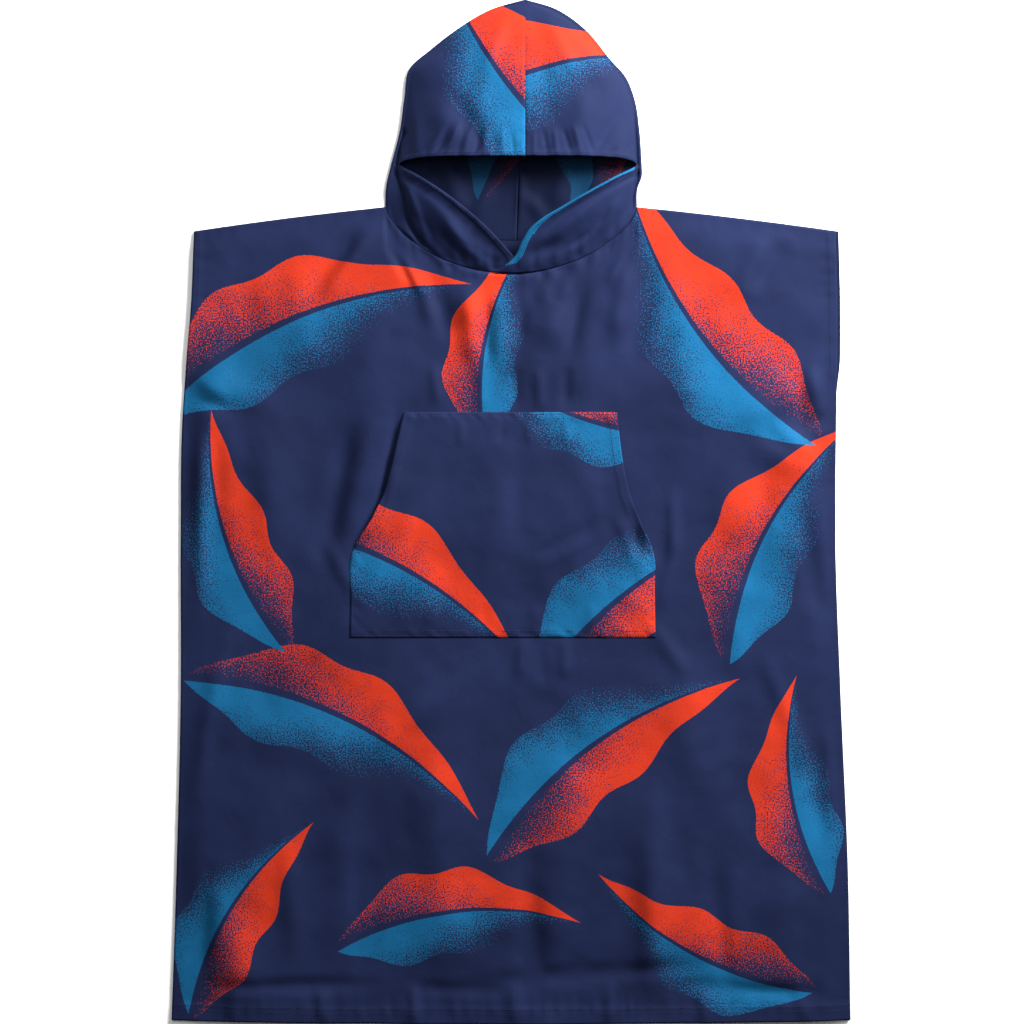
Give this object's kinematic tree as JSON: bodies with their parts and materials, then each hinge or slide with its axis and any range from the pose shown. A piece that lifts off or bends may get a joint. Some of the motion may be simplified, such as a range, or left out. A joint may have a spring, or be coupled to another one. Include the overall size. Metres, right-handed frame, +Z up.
{
  "type": "hooded bath poncho",
  "caption": "Sleeveless hooded poncho of thin towelling cloth with a front pocket, laid flat on its back with the hood's face opening up.",
  "frame": {"origin": "middle of the garment's outline, on the plane that it lies on", "axes": "+X across the garment, to the right of someone looking at its front with the hood up; +Y from the hem to the hood; +Z up from the back to the front"},
  "size_m": [0.8138, 1.228, 0.0371],
  "materials": {
    "body_cloth": "navy printed microfibre with orange-red and blue leaves, soft low sheen",
    "pocket_cloth": "the same printed microfibre, cut without matching the print",
    "hood_cloth": "the same printed microfibre, duller on the inside",
    "thread": "navy sewing thread"
  },
  "bodies": {
    "root": {"back_panel": "body_cloth", "front_panel": "body_cloth", "pocket": "pocket_cloth", "hood_left": "hood_cloth", "hood_right": "hood_cloth"}
  },
  "joints": []
}
